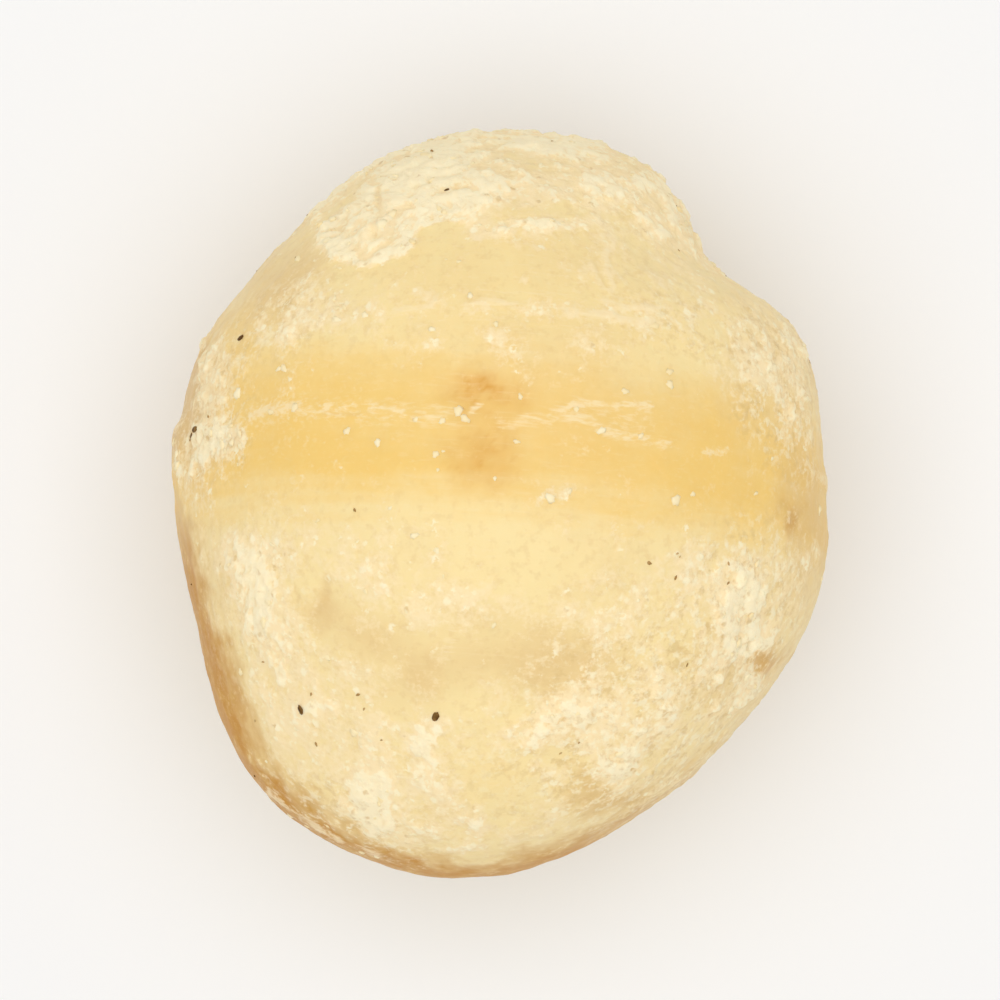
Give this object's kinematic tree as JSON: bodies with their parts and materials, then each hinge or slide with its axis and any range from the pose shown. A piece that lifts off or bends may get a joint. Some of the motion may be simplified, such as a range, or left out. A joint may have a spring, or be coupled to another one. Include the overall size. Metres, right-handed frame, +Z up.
{
  "type": "shelled macadamia kernel",
  "caption": "Whole macadamia kernel out of its shell: a rounded, creamy nut with a low crown, a seam round its middle and a small flat spot underneath to lie on.",
  "frame": {"origin": "middle of the small flat spot that the kernel lies on", "axes": "+Z up, +Y through the smaller seed leaf and its crown, +X to the right of the seam as seen from above with the crown away from the viewer"},
  "size_m": [0.017, 0.0194, 0.0159],
  "materials": {
    "nut_flesh": "cream to amber nut flesh, waxy and half matt, with paler scuffed patches"
  },
  "bodies": {
    "root": {"kernel": "nut_flesh"}
  },
  "joints": []
}
